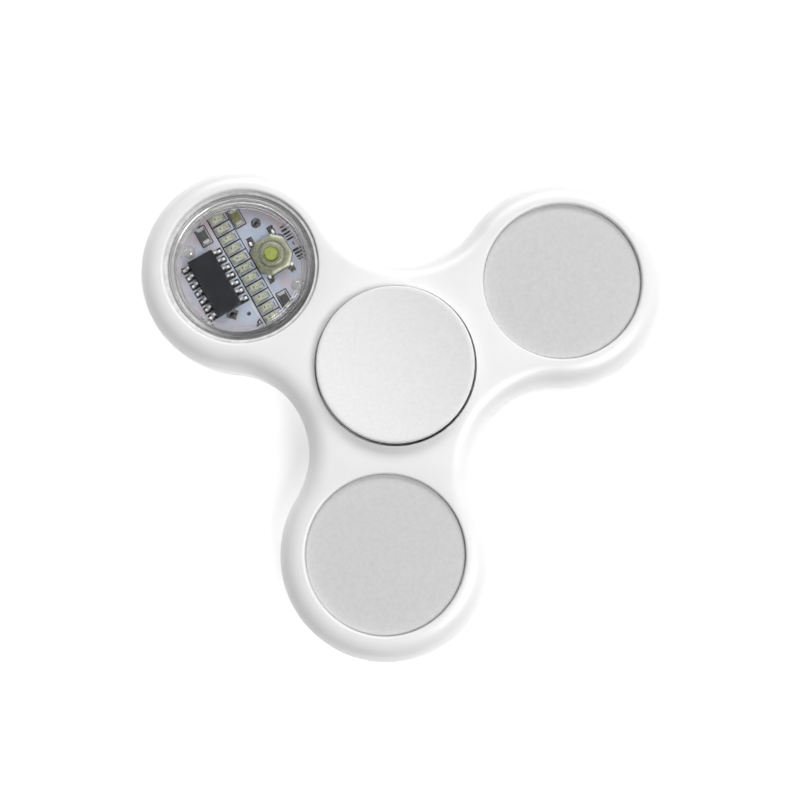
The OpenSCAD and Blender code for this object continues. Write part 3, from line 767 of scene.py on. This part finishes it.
# The switch's lid: a chamfered eight-sided plate with a groove round a raised collar
lid_low, lid_high = ((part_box("switch_cover")[k].z - BOARD_TOP) / MM for k in (0, 1))
COLLAR_RISE = 0.15
LID_HALF, LID_CORNER = 2.6, 1.35
LID_CHAMFER, LID_CHAMFER_DROP = 0.28, 0.18
lid_plate = lid_high - COLLAR_RISE
groove_floor = lid_plate - 0.16
eight = [(LID_HALF, -LID_CORNER), (LID_HALF, LID_CORNER), (LID_CORNER, LID_HALF), (-LID_CORNER, LID_HALF),
         (-LID_HALF, LID_CORNER), (-LID_HALF, -LID_CORNER), (-LID_CORNER, -LID_HALF), (LID_CORNER, -LID_HALF)]
lid = Build()
lid.plate(outline=[(switch_x + x, switch_y + y) for x, y in eight],
          sides=[(0.0, lid_low), (0.0, lid_plate - LID_CHAMFER_DROP), (LID_CHAMFER, lid_plate)],
          centre=(switch_x, switch_y),
          hole=[(1.98, lid_plate), (1.86, groove_floor), (1.74, groove_floor), (1.66, lid_high - 0.03),
                (1.60, lid_high), (1.12, lid_high), (1.05, lid_high - 0.07), (1.05, lid_low)])
lid_piece = lid.piece("switch_lid", SWITCH_METAL, "switch_cover_metal")
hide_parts("switch_cover")

# The snap dome under the button, copied from the model into a mesh of its own that turns with the frame.
dome_node = nodes["switch_dome"]
dome_verts = [tuple(dome_node.matrix_world @ v.co) for v in dome_node.data.vertices]
dome_faces = [tuple(p.vertices) for p in dome_node.data.polygons]
snap_dome = add_mesh("snap_dome", dome_verts, dome_faces, DOME_STEEL)
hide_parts("switch_dome")
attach(snap_dome, "rotor")
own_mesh(snap_dome)


def lamp_details(terminals):
    """Each lamp's window and dies. The soldered ends of its case go to the terminals."""
    windows, dies = Build(), Build()
    window_low, window_top, die_low, die_top = 0.5, 0.58, 0.55, 0.6
    end_out, end_top = 0.92, 0.16
    for x, y in lamp_spots:
        windows.box(x + 0.05, y, 1.0, 0.6, window_low, window_top, inset=0.05)
        dies.box(x - 0.18, y + 0.05, 0.24, 0.3, die_low, die_top, inset=0.02)
        dies.box(x + 0.3, y - 0.12, 0.3, 0.12, die_low, die_top, inset=0.02)
        for side in (-1, 1):
            terminals.box(x + side * end_out, y, 0.2, 0.8, 0, end_top, inset=0.04)
    windows.piece("lamp_windows", LAMP_WINDOW, "lamp_phosphor")
    dies.piece("lamp_dies", LAMP_DIE, "lamp_phosphor")


def solder_and_glints():
    """Solder beads where the chip's pins meet the board and at the switch's legs, made near-white as a
    painted highlight, and pale domes where the pins meet the chip's body, which are painted glints only.
    """
    solder = Build()
    foot_out, shoulder_out = 2.77, 2.15
    for side, y in pin_spots:
        solder.dome(chip_x + side * foot_out, y, 0.20, 0.20, low=0.15, height=0.22)
        # Painted glints at the pins' shoulders, where the bends catch the light
        solder.dome(chip_x + side * shoulder_out, y, 0.14, 0.14, low=0.8, height=0.14)
    for x, y in ((2.65, 2.75), (6.15, 2.75), (2.7, -2.55), (6.2, -2.5)):
        solder.dome(x, y, 0.26, 0.42, low=0, height=0.34)
    solder.piece("solder_and_glints", SOLDER_GLINT, "tinned_metal")


terminals = Build()
lamp_details(terminals)

# The switch's four pads: x, y, width and height
SWITCH_PADS = [(2.78, 3.2, 0.85, 1.1), (6.05, 3.1, 0.95, 1.3),
               (2.78, -2.85, 0.9, 0.8), (5.95, -2.8, 0.95, 0.7)]
for x, y, width, height in SWITCH_PADS:
    terminals.box(x, y, width, height, 0, PAD_HEIGHT)
terminals.piece("soldered_terminals", TINNED, "tinned_metal")

# The metal ends of the two resistors and the capacitor
END_OUT, END_HEIGHT = 0.95, 0.53
ends = Build()
for x, y in passive_spots:
    for side in (-1, 1):
        ends.box(x, y + side * END_OUT, 1.0, 0.5, 0, END_HEIGHT, inset=0.06)
ends.piece("passive_ends", TINNED_ENDS, "tinned_metal")

solder_and_glints()

# Plating round the board's two holes and its via
plating = Build()
for x, y in (upper_hole, lower_hole):
    plating.ring(x, y, 0.4, 0.72, 0, 0.04)
plating.ring(*via, 0.2, 0.3, 0, PAD_HEIGHT)
plating.piece("hole_plating", TINNED, "tinned_metal")

# The bare laminate round the lower hole: a square standing on its corner
bare_x, bare_y, bare_half = -4.35, -4.55, 0.95
bare = Build()
bare.plate(outline=[(bare_x + bare_half, bare_y), (bare_x, bare_y + bare_half),
                    (bare_x - bare_half, bare_y), (bare_x, bare_y - bare_half)],
           sides=[(0.0, 0.0), (0.0, PAD_HEIGHT)], centre=lower_hole,
           hole=[(0.42, PAD_HEIGHT), (0.42, 0.0)])
bare.piece("bare_laminate", BARE_LAMINATE, "board_laminate")


# ---- stage, light and camera ----

FLOOR_HALF = 1.5
FLOOR_GAP = 0.2 * MM
FLOOR_GLOW = 0.45


def lay_floor():
    """A pale floor just under the object, which gives off some light of its own."""
    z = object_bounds()[0][2] - FLOOR_GAP
    corners = [(x * FLOOR_HALF, y * FLOOR_HALF, z) for x, y in ((-1, -1), (1, -1), (1, 1), (-1, 1))]
    mesh = bpy.data.meshes.new("floor")
    mesh.from_pydata(corners, [], [(0, 1, 2, 3)])
    floor = bpy.data.objects.new("floor", mesh)
    bpy.context.scene.collection.objects.link(floor)
    material, _, shader, _ = new_material("pale_floor")
    shader.inputs["Base Color"].default_value = (*grey(0.92), 1)
    shader.inputs["Roughness"].default_value = 0.9
    shader.inputs["Emission Color"].default_value = (*grey(1), 1)
    shader.inputs["Emission Strength"].default_value = FLOOR_GLOW
    mesh.materials.append(material)


def light_sky():
    """A sky that is a little brighter towards the photo's top and dim straight overhead. Its
    colour stays Blender's own dark grey, so the softboxes and the floor give most of the light."""
    world = bpy.data.worlds.new("studio")
    bpy.context.scene.world = world
    world.use_nodes = True
    tree = world.node_tree
    background = next(n for n in tree.nodes if n.type == "BACKGROUND")
    split = tree.nodes.new("ShaderNodeSeparateXYZ")
    tree.links.new(tree.nodes.new("ShaderNodeTexCoord").outputs["Generated"], split.inputs[0])
    across = map_range(tree, split.outputs["Y"], (-0.9, 0.9), (0.72, 1.10))
    overhead = map_range(tree, split.outputs["Z"], (0.84, 0.96), (1.0, 0.15))
    tree.links.new(multiply(tree, across, overhead), background.inputs["Strength"])


def softbox(name, place, size, power):
    """A rectangular light that faces the middle of the object, its power in watts."""
    light = bpy.data.lights.new(name, "AREA")
    light.shape = "RECTANGLE"
    light.size, light.size_y = size
    light.energy = power
    lamp = bpy.data.objects.new(name, light)
    lamp.location = place
    lamp.rotation_euler = (Vector((0, 0, 0)) - Vector(place)).to_track_quat("-Z", "Y").to_euler()
    bpy.context.scene.collection.objects.link(lamp)


# The camera looks down, turned a little from upright. Tilts and roll are in radians.
CAMERA_TILT_X, CAMERA_TILT_Y, CAMERA_ROLL = -0.110, -0.033, -0.05
CAMERA_SHIFT = (-0.464 * MM, 4.272 * MM)
CAMERA_DISTANCE = 162.05 * MM
FOCAL_IN_WIDTHS = 1.420625


def place_camera():
    """A camera at the photo's viewing angle."""
    view = Matrix.Rotation(CAMERA_TILT_Y, 4, "Y") @ Matrix.Rotation(CAMERA_TILT_X, 4, "X")
    view = Matrix.Translation((*CAMERA_SHIFT, -CAMERA_DISTANCE)) @ view @ Matrix.Rotation(CAMERA_ROLL, 4, "Z")
    data = bpy.data.cameras.new("camera")
    data.sensor_width = 36
    data.lens = FOCAL_IN_WIDTHS * data.sensor_width
    data.clip_start = 0.01
    camera = bpy.data.objects.new("camera", data)
    camera.matrix_world = view.inverted()
    bpy.context.scene.collection.objects.link(camera)
    bpy.context.scene.camera = camera


lay_floor()
light_sky()
softbox("key", place=(0.05, 0.88, 0.72), size=(1.3, 0.42), power=9.5)
softbox("top", place=(0.46, -0.30, 0.90), size=(0.5, 0.5), power=7.0)
softbox("fill_right", place=(0.80, 0.0, 0.80), size=(0.6, 0.9), power=1.0)
place_camera()
bpy.context.scene.view_settings.view_transform = "Standard"

# The clear pieces cast no shadow, so that the softboxes' light reaches what lies under them
for piece in (clear_cover, clear_ring, nodes["module_cup"]):
    piece.visible_shadow = False
